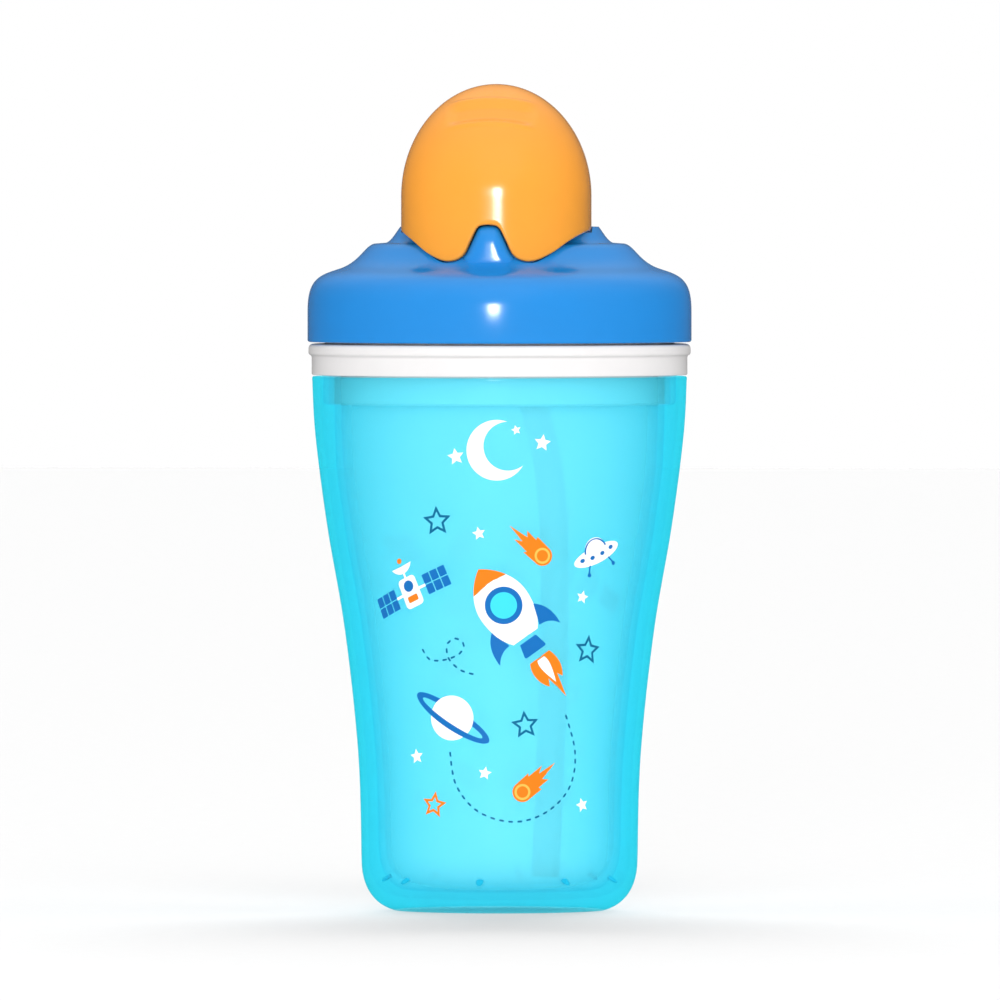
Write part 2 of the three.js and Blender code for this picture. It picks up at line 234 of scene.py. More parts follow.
def swept(path, radii, around=SMALL_AROUND):
    """A tube along a path, with the outer and the inner radius given, and rounded ends."""
    points = [Vector(p) for p in path]
    wall, middle = (radii[0] - radii[1]) / 2, (radii[0] + radii[1]) / 2
    side = Vector((1, 0, 0))
    frames = []
    for i, point in enumerate(points):
        ahead = (points[min(i + 1, len(points) - 1)] - points[max(i - 1, 0)]).normalized()
        side = (side - ahead * side.dot(ahead)).normalized()
        frames.append((point, ahead, side, ahead.cross(side)))

    def loop(frame, radius, push):
        point, ahead, right, up = frame
        centre = point + ahead * push
        angles = [2 * math.pi * j / around for j in range(around)]
        return [tuple(centre + (right * math.cos(a) + up * math.sin(a)) * radius) for a in angles]

    half_turn = [math.pi * k / 6 for k in range(1, 6)]
    rows = [loop(frame, radii[0], 0) for frame in frames]
    rows += [loop(frames[-1], middle + wall * math.cos(a), wall * math.sin(a)) for a in half_turn]
    rows += [loop(frame, radii[1], 0) for frame in reversed(frames)]
    rows += [loop(frames[0], middle - wall * math.cos(a), -wall * math.sin(a)) for a in half_turn]
    return grid([*rows, rows[0]])


def solid(name, shape, body, material, crease=35):
    """One object from a shape, smooth but for its sharp edges. It rides on a CAD body, if one is given."""
    mesh = bpy.data.meshes.new(name)
    mesh.from_pydata([tuple(c * MM for c in v) for v in shape[0]], [], shape[1])
    work = bmesh.new()
    work.from_mesh(mesh)
    bmesh.ops.remove_doubles(work, verts=work.verts, dist=1e-7)
    bmesh.ops.dissolve_degenerate(work, edges=work.edges, dist=1e-8)
    bmesh.ops.recalc_face_normals(work, faces=work.faces)
    work.to_mesh(mesh)
    work.free()
    mesh.shade_smooth()
    mesh.set_sharp_from_angle(angle=math.radians(crease))
    mesh.materials.append(material)
    obj = bpy.data.objects.new(name, mesh)
    bpy.context.scene.collection.objects.link(obj)
    if body:
        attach(obj, body)
    return obj


def cut(obj, cutter, crease=35):
    """Takes the cutter's shape out of obj's mesh."""
    tool = solid("cutter", cutter, None, obj.data.materials[0])
    change = obj.modifiers.new("cut", "BOOLEAN")
    change.operation = "DIFFERENCE"
    change.solver = "EXACT"
    change.object = tool
    bpy.context.view_layer.update()
    mesh = bpy.data.meshes.new_from_object(obj.evaluated_get(bpy.context.evaluated_depsgraph_get()))
    obj.modifiers.clear()
    obj.data = mesh
    mesh.shade_smooth()
    mesh.set_sharp_from_angle(angle=math.radians(crease))
    bpy.data.objects.remove(tool)


# ---------------------------------------------------------------- materials
def linear(code):
    """An sRGB hex colour as linear RGBA."""
    parts = [int(code[i : i + 2], 16) / 255 for i in (0, 2, 4)]
    return (*[c / 12.92 if c <= 0.04045 else ((c + 0.055) / 1.055) ** 2.4 for c in parts], 1)


def plastic(name, code, roughness=0.3, grain=0.02, specular=0.5, subsurface=0.0):
    """A moulded plastic. Fine noise varies its colour, roughness and surface a little."""
    material = bpy.data.materials.new(name)
    material.use_nodes = True
    nodes, links = material.node_tree.nodes, material.node_tree.links
    cells_in_a_metre, darker, spread_of_roughness = 220, 0.96, 0.1
    base = nodes["Principled BSDF"]
    where = nodes.new("ShaderNodeTexCoord")
    noise = nodes.new("ShaderNodeTexNoise")
    noise.inputs["Scale"].default_value = cells_in_a_metre
    noise.inputs["Detail"].default_value = 3
    links.new(where.outputs["Object"], noise.inputs["Vector"])
    shades = nodes.new("ShaderNodeMix")
    shades.data_type = "RGBA"
    colour = linear(code)
    shades.inputs["A"].default_value = colour
    shades.inputs["B"].default_value = (*[c * darker for c in colour[:3]], 1)
    links.new(noise.outputs["Fac"], shades.inputs["Factor"])
    links.new(shades.outputs["Result"], base.inputs["Base Color"])
    spread = nodes.new("ShaderNodeMapRange")
    spread.inputs["To Min"].default_value = roughness * (1 - spread_of_roughness)
    spread.inputs["To Max"].default_value = roughness * (1 + spread_of_roughness)
    links.new(noise.outputs["Fac"], spread.inputs["Value"])
    links.new(spread.outputs["Result"], base.inputs["Roughness"])
    bump = nodes.new("ShaderNodeBump")
    bump.inputs["Strength"].default_value = grain
    bump.inputs["Distance"].default_value = 0.0005
    links.new(noise.outputs["Fac"], bump.inputs["Height"])
    links.new(bump.outputs["Normal"], base.inputs["Normal"])
    base.inputs["Specular IOR Level"].default_value = specular
    if subsurface:
        base.inputs["Subsurface Weight"].default_value = subsurface
        base.inputs["Subsurface Scale"].default_value = 0.004
        base.inputs["Subsurface Radius"].default_value = (1, 0.6, 0.4)
    return material


def see_through(material, share, tints, slant_share=None, blend=0.4):
    """Lets a share of what is behind a plastic show, in the first tint where the wall faces the eye and in
    the second one where it is seen at a slant. The share there is slant_share, if it is given. A lower
    blend keeps the looks of the slant nearer to the limb."""
    nodes, links = material.node_tree.nodes, material.node_tree.links
    clear = nodes.new("ShaderNodeBsdfTransparent")
    slant = nodes.new("ShaderNodeLayerWeight")
    slant.inputs["Blend"].default_value = blend
    tint = nodes.new("ShaderNodeMix")
    tint.data_type = "RGBA"
    tint.inputs["A"].default_value, tint.inputs["B"].default_value = [linear(code) for code in tints]
    links.new(slant.outputs["Facing"], tint.inputs["Factor"])
    links.new(tint.outputs["Result"], clear.inputs["Color"])
    both = nodes.new("ShaderNodeMixShader")
    both.inputs["Fac"].default_value = share
    if slant_share:
        shown = nodes.new("ShaderNodeMix")
        shown.inputs["A"].default_value, shown.inputs["B"].default_value = share, slant_share
        links.new(slant.outputs["Facing"], shown.inputs["Factor"])
        links.new(shown.outputs["Result"], both.inputs["Fac"])
    links.new(nodes["Principled BSDF"].outputs["BSDF"], both.inputs[1])
    links.new(clear.outputs["BSDF"], both.inputs[2])
    links.new(both.outputs["Shader"], nodes["Material Output"].inputs["Surface"])
    return material


def shell_material():
    return see_through(plastic("cyan_shell", "2ED2F4", 0.14, 0.002, 0.3), 0.76, ("96F0FC", "6CF6FF"))


def shell_inside_material():
    """Nearly clear, since the shell's outer face carries its colour."""
    return see_through(plastic("shell_inside", "2ED2F4", 0.2, 0.002, 0.1), 0.97, ("FDFFFF", "F8FEFF"))


def nub_shade_material():
    # Darker cyan than the shell: painted shade where the nubs press against the shell's inside.
    return plastic("cyan_nubs_painted_shade", "2CB4D2", 0.3)


def liner_material():
    """Milky, with soft edges: more of what is behind it shows where it is seen at a slant."""
    milky = plastic("milky_liner", "E2FAFF", 0.4, 0.002, 0.2)
    return see_through(milky, 0.52, ("FAFFFF", "DCF9FF"), slant_share=0.98)


def collar_material():
    return plastic("white_collar", "DFDDDD", 0.24, 0.01)


def lid_material():
    return plastic("blue_lid", "1C82CE", 0.14, 0.006, 0.4)


def cover_material():
    return plastic("orange_cover", "EC9A34", 0.14, 0.006, 0.4)


def straw_material():
    return see_through(plastic("straw_silicone", "E2EAEC", 0.45, subsurface=0.3), 0.25, ("F6FCFC", "E4F0F2"))


def seal_material():
    return see_through(plastic("seal_silicone", "E8E8E4", 0.5, subsurface=0.2), 0.15, ("F6F6F2", "E6E6E0"))


def tube_material():
    """Painted light: a bright colour that stands in for the light the renderer leaves out behind many clear
    walls. Painted shade: dark blue along its edges, where it is seen at a slant.
    """
    bright = plastic("tube_plastic", "E8FBFF", 0.3, 0, 0.2)
    # E8FBFF is painted light; the 001C60 tint at the slant is painted shade along the tube's edges.
    return see_through(bright, 0.72, ("FFFFFF", "001C60"), slant_share=0.99, blend=0.3)


def ink_material(name, code):
    return plastic(f"{name}_ink", code, 0.35, specular=0.2)


def floor_material():
    return plastic("floor_white", "DDDDDD", 0.6, 0, specular=0)


# ---------------------------------------------------------------- tumbler
SHELL_WALL = spline([(30.2, 11), (30.9, 34), (33.8, 61), (37.7, 84), (40.3, 104), (41, 116.8)])
COLLAR_STEP = 117.1  # height of the step with which the collar stands on the shell's rim


def clear_inside(obj, material):
    """Gives the faces inside the shell and under its foot a second material, so that the colour of a wall
    counts once."""
    recess_radius, recess_top, floor_top = 17.4 * MM, 2 * MM, 20 * MM
    obj.data.materials.append(material)
    for face in obj.data.polygons:
        out = face.center.xy
        inward = out.length > 0 and out.dot(face.normal.xy) < 0
        inner_floor = face.normal.z > 0.5 and face.center.z < floor_top
        recess = out.length < recess_radius and face.center.z < recess_top
        if inward or inner_floor or recess:
            face.material_index = 1


def inset(points, by):
    return [(r - by, z) for r, z in points]


def shell_radius(z):
    """The outer wall's radius at a height on its bulging part."""
    return height_at([(height, r) for r, height in SHELL_WALL], z)


def shell():
    """The outer wall, moulded in one with the foot and its shallow recess."""
    foot = rounded([(0, 0.8), (16.5, 0.8, 0.5), (17.3, 0, 0.5), (23, 0)])
    corner = bezier((23, 0), (27.6, 1.2), (30.2, 5.2), (30.2, 11))
    rim = rounded([(41, 116), (41, 116.8, 0.35), (39.4, 116.8, 0.35), (39.4, 116)])
    inside = list(reversed(inset(SHELL_WALL[:-1], 1.6)))
    inner_corner = bezier((28.6, 11), (28.6, 6.4), (26, 3), (20.5, 2.8))
    return turned([*foot[:-1], *corner, *SHELL_WALL[1:-1], *rim, *inside[:-1], *inner_corner, (0, 2.8)])


def liner():
    """The inner wall, which follows the shell at a distance and ends in a rim above the collar."""
    away, wall, neck = 3.8, 1.4, 36.1
    side = [(r - away, z) for r, z in SHELL_WALL if z > 15 and r - away < neck - 0.2]
    corner = bezier((19.5, 4.4), (23.6, 4.4), (26.4, 8), (26.4, 14))
    outer_rim = [(neck, 107, 6), (neck, 133, 0.3), (38, 133, 0.3), (38, 134.4, 0.5)]
    inner_rim = [(neck - wall, 134.4, 0.5), (neck - wall, 107, 6)]
    rim = rounded([side[-1], *outer_rim, *inner_rim, (side[-1][0] - wall, side[-1][1])])
    inside = list(reversed(inset(side, wall)))
    inner_corner = list(reversed(bezier((18.5, 6), (22.6, 6), (25, 9.4), (25, 15))))
    return turned([(0, 4.4), *corner, *side[:-1], *rim, *inside[1:], *inner_corner, (0, 6)])


def spacer_nubs(count=8, start=39.5):
    """Small oval nubs on the liner's lower corner, which centre it in the shell."""
    nub = turned([(1.1, -0.5), (1.1, 0.6), (0.9, 1.3), (0.5, 1.7), (0, 1.8)], 24)
    tilt = Matrix.Translation((24.6, 0, 7.1)) @ Matrix.Rotation(math.radians(122), 4, "Y")
    nub = moved(nub, tilt @ Matrix.Diagonal((0.4, 0.75, 1, 1)))
    turns = [Matrix.Rotation(math.radians(start + 360 * i / count), 4, "Z") for i in range(count)]
    return joined(*[moved(nub, turn) for turn in turns])


def collar():
    """The ring between shell and neck: a spigot in the shell, a band with a bead, and a threaded neck."""
    spigot = [(37.4, 110.6, 0.3), (38.1, 110.6, 0.3), (38.6, 111.2, 0.3), (38.6, COLLAR_STEP)]
    band = [(41.1, COLLAR_STEP, 0.3), (41.1, 121.3, 0.6), (41.8, 121.6, 0.6), (41.8, 123.9, 1)]
    neck = [(38.2, 123.9, 0.3), (38.2, 132.7, 0.4)]
    bore = [(36.4, 132.7, 0.4), (36.4, 118.6, 0.5), (37.4, 117.6, 0.5)]
    threads = [helix(37.9, 39.6, 1.15, 0.5, 126, start) for start in (0, 180)]
    return joined(ring(rounded([*spigot, *band, *neck, *bore], closed=True)), *threads)


def milky_spigot(obj, material):
    """Gives the collar's faces inside the shell a second, milky material."""
    obj.data.materials.append(material)
    for face in obj.data.polygons:
        if face.center.z < COLLAR_STEP * MM:
            face.material_index = 1


# ---------------------------------------------------------------- cover
HALF_WIDTH, FRONT, REAR, CENTRE_Y = 20.65, 23.4, 29.7, -9
FRONT_POWER, REAR_POWER = 2.4, 2.2  # exponents of the superellipses in plan
SPRING_Z, RISE, COVER_WALL, SEAT_Z = 156.2, 24.5, 1.8, 148.6
EDGE = spline(
    [
        (0, 150.1),
        (2.3, 149.6),
        (3.8, 147),
        (5.9, 143.2),
        (9.4, 142.1),
        (13.5, 143.7),
        (17.6, 146.7),
        (HALF_WIDTH, SEAT_Z),
    ]
)
HINGE_Y, HINGE_Z = 24.4, 151.6
GROOVE_LOW, GROOVE_HIGH = 172.7, 176.9  # heights of the finger groove's edges in the middle
GROOVE_DROP = 0.0143  # how much lower the edges lie off the middle, times the distance squared
GROOVE_DEPTH, GROOVE_LIP, GROOVE_HALF_WIDTH = 0.8, 0.36, 9.5


def cover_columns(front=72, rear=40):
    """(side, ahead, edge height) for each column round the cover: its place in plan as shares of the half
    width and of the front or rear reach, and how low its wall comes."""
    half = []
    for angle in quarter(front):
        side = math.sin(angle) ** (2 / FRONT_POWER)
        half.append((side, -(math.cos(angle) ** (2 / FRONT_POWER)), height_at(EDGE, side * HALF_WIDTH)))
    for angle in quarter(rear)[1:-1]:
        half.append((math.cos(angle) ** (2 / REAR_POWER), math.sin(angle) ** (2 / REAR_POWER), SEAT_Z))
    other = [(-side, ahead, edge) for side, ahead, edge in reversed(half[1:])]
    return [*half, (0, 1, SEAT_Z), *other]


def plan_point(side, ahead, grow, spread=1.0):
    """A point of the cover's outline in plan, grown by a distance and drawn in towards its centre."""
    reach = (FRONT if ahead < 0 else REAR) + grow
    return side * (HALF_WIDTH + grow) * spread, CENTRE_Y + ahead * reach * spread


def groove(x, y, z):
    """How deep the finger groove is at a point of the dome. A low lip runs along its edges."""
    if y > CENTRE_Y:
        return 0
    level = z + GROOVE_DROP * x * x
    into = min(level - GROOVE_LOW, GROOVE_HIGH - level)
    lip = GROOVE_LIP * math.exp(-(((into + 0.5) / 0.4) ** 2))
    fade = smoothstep(GROOVE_HALF_WIDTH - abs(x), -1, 2.5)
    return (GROOVE_DEPTH * smoothstep(into, -0.2, 1.3) - lip) * fade


def dome_rows(columns, grow, steps, grooved=False):
    """Rows of points from the top of the dome down to where its wall is upright."""
    rows = []
    for along in reversed(quarter(steps)):
        z = SPRING_Z + (RISE + grow) * math.sin(along)
        row = []
        for side, ahead, _ in columns:
            x, y = plan_point(side, ahead, grow, math.cos(along))
            sink = groove(x, y, z) if grooved else 0
            row.append((x, y + 0.7 * sink, z - 0.7 * sink))
        rows.append(row)
    return rows


def wall_row(columns, share, heights):
    """A row at a share of the way from the wall's outer face (0) to its inner face (1), at a height for each
    column."""
    row = []
    for (side, ahead, _), z in zip(columns, heights):
        row.append((*plan_point(side, ahead, -COVER_WALL * share), z))
    return row


def wall_rows(columns, share, steps=9, above_edge=0.6):
    """Rows down one face of the upright wall, from the spring line to just above the rounded edge."""
    rows = []
    for k in range(1, steps):
        heights = [SPRING_Z + (edge + above_edge - SPRING_Z) * k / steps for _, _, edge in columns]
        rows.append(wall_row(columns, share, heights))
    return rows


def cover_shell(lip=0.55):
    """The domed wall, with a lower edge that is rounded on both sides."""
    columns = cover_columns()
    outer_lip, inner_lip = [], []
    for a in quarter(4):
        heights = [edge + lip - lip * math.sin(a) for _, _, edge in columns]
        outer_lip.append(wall_row(columns, 0.3 - 0.3 * math.cos(a), heights))
        inner_lip.append(wall_row(columns, 0.7 + 0.3 * math.cos(a), heights))
    outside = dome_rows(columns, 0, 112, grooved=True) + wall_rows(columns, 0) + outer_lip
    inside = dome_rows(columns, -COVER_WALL, 36) + wall_rows(columns, 1) + inner_lip
    return grid(outside + list(reversed(inside)))


def cover_hinge():
    """The barrel with its two pintles, and the web that joins it to the cover's rear wall."""
    pintle = [(0, 11.4), (1, 11.4, 0.2), (1.3, 11.1, 0.2), (1.3, 8.2)]
    barrel = [(2.1, 8.2, 0.2), (2.4, 7.9, 0.2), (2.4, 0)]
    half = rounded([*pintle, *barrel])
    profile = half + [(r, -x) for r, x in reversed(half[:-1])]
    lay = Matrix.Translation((0, HINGE_Y, HINGE_Z)) @ Matrix.Rotation(math.pi / 2, 4, "Y")
    section = [(18.2, 150.2, 0.3), (HINGE_Y, 149.6), (HINGE_Y, 153.3), (18.2, 153.3, 0.3)]
    web = capped([[(x, y, z) for y, z in rounded(section, closed=True)] for x in (-8, 8)])
    return joined(moved(turned(profile, SMALL_AROUND), lay), web)


def straw_rib():
    """The rib inside the cover that presses the folded straw."""
    outline = rounded([(-6, 178), (-6, 168.4, 1.2), (6, 168.4, 1.2), (6, 178)])
    return capped([[(x, y, z) for x, z in outline] for y in (-3.4, -1.4)])


# ---------------------------------------------------------------- lid
def lid_profile():
    """The lid's section, from its raised centre out over the shoulder, and back underneath."""
    centre = [(0, 152), (15.9, 152, 0.7), (16.6, 148.1, 0.5)]
    moat = [(21.1, 148.1, 0.2), (21.2, 149.5, 0.2), (21.7, 149.5)]
    flare = bezier((21.7, 149.5), (22.6, 148.4), (23.6, 146.4), (24.8, 146))
    sweep = bezier((27.4, 145.8), (29.6, 145.3), (30.6, 141.6), (35.4, 140.2), 16)
    shoulder = bezier((36.6, 139.8), (40.6, 138.5), (42, 136.6), (42, 131), 16)
    skirt = [(42, 131), (42, 124.3, 0.5), (40, 124.3, 0.4), (40, 135, 1)]
    seal_groove = [(38.8, 137.2, 0.8), (34.3, 137.2)]
    plug = rounded([(34.3, 137.2), (34.3, 133.6, 0.4), (33.2, 133.6, 0.4), (33.2, 139, 1), (29.6, 140)])
    under = bezier((29.6, 140), (25, 141.4), (21.5, 143.4), (21, 146.3))
    roof = rounded([(21, 146.3), (15, 146.6, 0.5), (14.4, 150, 0.6), (0, 150)])
    top = [*rounded([*centre, *moat]), *flare[1:], *sweep, *shoulder]
    return [*top, *rounded([*skirt, *seal_groove])[1:], *plug[1:], *under[1:], *roof[1:]]


def slot(gap=0.25, gap_below=0.35, top=156):
    """The groove in the lid that takes the cover's wall, as a solid that reaches above the lid."""
    columns = cover_columns()
    outer, inner = gap, -COVER_WALL - gap
    rows = []
    for grow, lowered in ((outer, False), (outer, True), (inner, True), (inner, False)):
        row = []
        for side, ahead, edge in columns:
            row.append((*plan_point(side, ahead, grow), edge - gap_below if lowered else top))
        rows.append(row)
    return grid([*rows, rows[0]])


def lid_threads():
    return joined(*[helix(40.4, 38.7, 1, 0.45, 125.33, start) for start in (60, 240)])


def nose(gap=0.22, bulge=1.1, lean=0.045, steps=12):
    """The latch that fills the notch of the cover's front wall, and narrows with its depth as the notch does.
    Its face is rounded at its edges, and leans back a little."""
    near = [point for point in EDGE if point[0] < 6.5]
    half = []
    for (x0, z0), (x1, z1) in zip(near, near[1:]):
        length = math.hypot(x1 - x0, z1 - z0)
        half.append(((x0 + x1) / 2 + gap * (z1 - z0) / length, (z0 + z1) / 2 - gap * (x1 - x0) / length))
    foot, middle = 140, 143.2
    arch = both_halves([(0, near[0][1] - gap), *half, (half[-1][0], foot)])

    def loop(size, depth):
        row = []
        for x, z in arch:
            side = x * size / HALF_WIDTH
            bow = (1 - abs(side) ** FRONT_POWER) ** (1 / FRONT_POWER)
            height = middle + (z - middle) * size
            row.append((*plan_point(side, -bow, -depth - lean * (height - foot)), height))
        return row

    front = [loop(k / steps, 0.05 + bulge * (k / steps) ** 5) for k in range(steps + 1)]
    return capped([*front, loop(1, 4)])


def ear():
    """One of the two lugs that carry the cover's pintles: a D-shaped plate with a hole."""
    radius, foot, bore = 2.6, -8.2, 1.55
    outline = arc(radius, 0, 180, 28) + [(-radius, -3)]
    outline += [(radius * k / 2, foot) for k in range(-2, 3)] + [(radius, -3)]

    def loop(x, inward=0, hole=None):
        row = []
        for y, z in outline:
            length = math.hypot(y, z)
            share = hole / length if hole else 1 - inward / length
            row.append((x, HINGE_Y + y * share, HINGE_Z + z * share))
        return row

    rows = [loop(8.6, hole=bore), loop(8.6, 0.35), loop(8.75, 0.1), loop(8.95)]
    rows += [loop(11.25), loop(11.45, 0.1), loop(11.6, 0.35), loop(11.6, hole=bore)]
    return grid([*rows, rows[0]])


def gasket():
    """The seal in the lid's groove, with a bead along its middle."""
    section = [(34.7, 134.7, 0.4), (36, 134.7, 0.3), (36.5, 134.4, 0.3), (37, 134.7, 0.3), (38.2, 134.7, 0.5)]
    return ring(rounded([*section, (38.2, 136.9, 0.5), (34.7, 136.9, 0.5)], closed=True))


def valve():
    """The vent valve: a thin flap under the lid, its stem, and the knob that holds it."""
    flap = [(0, 148.2), (2.2, 148.4), (3, 149, 0.2), (3, 149.4, 0.2), (1.3, 149.6, 0.15)]
    knob = [(1.3, 152.4, 0.1), (2.6, 152.4, 0.25), (2.6, 153, 0.3), (1.8, 153.7, 0.6), (0, 153.9)]
    return turned(rounded([*flap, *knob]), 40, (9, -6))


# ---------------------------------------------------------------- straw
STRAW_Y, BEND_Z, REACH, FOLD = 2.5, 162.5, 5, math.radians(80)


def tube():
    """The firm tube from the straw's socket down to the foot of the liner."""
    route = [(0, STRAW_Y, 145.6), (0, STRAW_Y, 140), (0, STRAW_Y, 134.5), (2.4, 0.4, 124), (8.6, -5.6, 108)]
    route += [(12.2, -9, 90), (12.9, -10.8, 64), (12.2, -11.8, 36), (11, -12, 8.2)]
    return swept(spline(route, 10), (3, 2.2))


def straw_upright():
    """The soft straw in one piece as it stands when the cover is open."""
    socket = [(3.35, 137), (5, 137, 0.3), (5.3, 137.4), (5.3, 147.2, 0.3)]
    flange = [(8.4, 147.5, 0.3), (8.4, 149.4, 0.4), (5.2, 149.7, 0.2), (5.2, 152.3, 0.1)]
    bead = [(7.2, 152.4, 0.25), (7.2, 153.4, 0.3), (6.4, 154.2, 0.5), (4.6, 154.8, 0.8), (4.6, 157)]
    bend = [(4.6, 157 + 0.5 * k) for k in range(1, 24)]
    mouth = [(4.4, 171), (4.4, 183, 2), (4.1, 184.8, 1), (3.3, 185.5, 0.6)]
    mouth += [(2.3, 185.3, 0.3), (2, 184.4, 0.3)]
    bore = [(2, 170 - 0.5 * k) for k in range(28)]
    foot = [(2, 147, 0.3), (3.35, 146.2, 0.2), (3.35, 137)]
    outside = [*rounded([*socket, *flange, *bead]), *bend, *rounded([bend[-1], *mouth, bore[0]])[1:]]
    inside = [*bore[1:], *rounded([bore[-1], *foot])[1:]]
    return turned([*outside, *inside], SMALL_AROUND, (0, STRAW_Y))


def folded(point, share):
    """A point of the upright straw, turned about the bend by a share of the fold."""
    x, y, z = point
    c, s = math.cos(FOLD * share), math.sin(FOLD * share)
    return x, STRAW_Y + (y - STRAW_Y) * c - (z - BEND_Z) * s, BEND_Z + (z - BEND_Z) * c + (y - STRAW_Y) * s


BLEND_START = (0, STRAW_Y, BEND_Z - REACH)
BLEND_END = folded((0, STRAW_Y, BEND_Z + REACH), 1)


def blend_share(point):
    start, along = Vector(BLEND_START), Vector(BLEND_END) - Vector(BLEND_START)
    return smoothstep((Vector(point) - start).dot(along) / along.length_squared, 0, 1)


def straw_at_rest(halvings=24):
    """The straw folded down. Each point is folded by the share that blend_share gives at its folded place, so
    that unfolding each point by that share would make the straw straight."""
    verts, faces = straw_upright()
    rest = []
    for point in verts:
        low, high = 0, 1
        for _ in range(halvings):
            middle = (low + high) / 2
            if blend_share(folded(point, middle)) > middle:
                low = middle
            else:
                high = middle
        rest.append(folded(point, (low + high) / 2))
    return rest, faces


# ---------------------------------------------------------------- print
# A motif is (ink, layer, loops). A loop is a list of (across, up) points, and one inside another is a hole.
PRINT_AZIMUTH = 4.5  # degrees from -Y towards +X: the way that the front print faces
PRINT_RISE = 0.8  # how far up the wall the whole print is moved
INK_LIFT, INK_STEP = 0.05, 0.025  # height of the first layer of ink and of each further one over the wall
INKS = {
    "white": "F6F6F6",
    "blue": "0A6AB4",
    "teal": "06648C",
    "orange": "F67C12",
    "yellow": "FBB850",
    "cyan": "3CD4EC",
}


def placed(loop, at, tilt):
    """A loop turned anticlockwise by tilt degrees and moved to a place."""
    c, s = math.cos(math.radians(tilt)), math.sin(math.radians(tilt))
    return [(at[0] + x * c - y * s, at[1] + x * s + y * c) for x, y in loop]


def drawn(at, tilt, *parts):
    """Motifs from parts (ink, layer, loop, any further loops), turned and moved to a place."""
    return [(ink, layer, [placed(loop, at, tilt) for loop in loops]) for ink, layer, *loops in parts]


def five_points(radius, waist=0.48):
    points = []
    for k in range(10):
        angle = math.pi / 2 + math.pi * k / 5
        reach = radius * (waist if k % 2 else 1)
        points.append((reach * math.cos(angle), reach * math.sin(angle)))
    return points


def star(ink, at, radius, tilt, line=0.0):
    """A five-pointed star, filled, or drawn with a line of that share of its size."""
    loops = [five_points(radius)]
    if line:
        loops.append(five_points(radius * (1 - line)))
    return drawn(at, tilt, (ink, 0, *loops))


def hoop(ink, layer, at, radius, line):
    return drawn(at, 0, (ink, layer, oval(radius, radius), oval(radius - line, radius - line)))


def moon(at, radius, tilt, horn=50, shift=0.39):
    """A crescent, open to the right: two arcs that share their ends, the inner one's centre shifted."""
    outer = arc(radius, horn, 360 - horn, 40)
    tip = Vector(outer[0]) - Vector((shift * radius, 0))
    inner_horn = math.degrees(math.atan2(tip.y, tip.x))
    hollow = arc(tip.length, 360 - inner_horn, inner_horn, 40)[1:-1]
    return drawn(at, tilt, ("white", 0, outer + shifted(hollow, shift * radius, 0)))


def comet(at, tilt):
    """A ball with a ring on it and a tail of tongues that points along tilt."""
    tail = [(0.4, 2.2), (3.6, 2.3), (3.2, 1.7), (7, 1.6), (5.4, 0.7), (9.8, 0.1), (5.2, -0.7)]
    tail += [(6.2, -1.7), (3.4, -1.6), (3.6, -2.3), (0.4, -2.2)]
    ball = arc(2.2, 282, 78, 20)
    return drawn(at, tilt, ("orange", 0, tail + ball)) + hoop("yellow", 1, at, 1.75, 0.5)


def rocket(at, tilt):
    """A rocket with a coloured tip, a round window, two fins, a nozzle and a flame."""
    half = bezier((0, 9.6), (3.6, 7.4), (5.9, 3.6), (5.9, 0), 14)
    half += bezier((5.9, 0), (5.9, -3.6), (4.9, -6.4), (3.2, -8.4))[1:]
    tip_half = [point for point in half if point[1] > 5.2]
    fin = bezier((5.5, -3.4), (7.4, -4.8), (8.4, -7), (8.2, -10.4), 8)
    fin += bezier((8.2, -10.4), (7, -8.6), (5.6, -8), (4, -8), 6)[1:]
    other_fin = [(-x, y) for x, y in reversed(fin)]
    nozzle = [(-2.1, -9.2, 0.3), (2.1, -9.2, 0.3), (2.9, -12.4, 0.4), (-2.9, -12.4, 0.4)]
    flame = bezier((-2.6, -13.8), (-4, -16), (-3.2, -19), (-1.8, -20.4))
    flame += [(-1, -18.8), (0.2, -24.4), (1.3, -19)]
    flame += bezier((2, -20.2), (3.4, -18.4), (3.6, -16.2), (2.6, -13.8))
    core = bezier((-0.9, -14.2), (-1.6, -15.6), (-0.8, -18), (0, -20.4))
    core += bezier((0, -20.4), (0.8, -18), (1.6, -15.6), (0.9, -14.2))[1:]
    outside = drawn(
        at,
        tilt,
        ("white", 0, both_halves(half)),
        ("blue", 0, fin),
        ("blue", 0, other_fin),
        ("blue", 0, rounded(nozzle, closed=True)),
        ("orange", 1, both_halves(tip_half)),
        ("orange", 0, flame),
        ("white", 1, core),
    )
    return outside + hoop("blue", 1, at, 4.1, 1.2) + drawn(at, 0, ("cyan", 1, oval(2.9, 2.9)))


def planet(at, tilt):
    """A ball with a band round it that passes behind its upper half."""
    ball = ("white", 0, oval(4.9, 4.9))
    band = ("blue", 1, oval(9.8, 2.4, 64), oval(8.1, 1.15, 64))
    near_half = ("white", 2, arc(4.9, 0, 180, 28))
    return drawn(at, tilt, ball, band, near_half)


def saucer(at, tilt):
    """A flat hull with four lamps, a dome with a rim, and two legs with round feet."""
    dome = shifted(arc(2.9, 8, 172, 20), 0, 0.9)
    rim = [(x * 1.02, y + 0.6) for x, y in arc(3, 12, 168)]
    rim += [(x * 0.9, y + 0.35) for x, y in arc(3, 168, 12)]
    parts = [("white", 0, oval(6.2, 1.9)), ("white", 0, dome), ("blue", 1, rim)]
    for across, up in ((-4, 0.1), (-1.4, -0.25), (1.4, -0.25), (4, 0.1)):
        parts.append(("blue", 1, shifted(oval(0.6, 0.45, 16), across, up)))
    for hip in (-2.6, 2.6):
        toe = hip * 1.35
        leg = [(hip - 0.2, -1.6), (hip + 0.2, -1.6), (toe + 0.2, -3.3), (toe - 0.2, -3.3)]
        parts.append(("blue", 0, leg))
        parts.append(("blue", 0, shifted(oval(0.5, 0.45, 16), toe, -3.5)))
    return drawn(at, tilt, *parts)


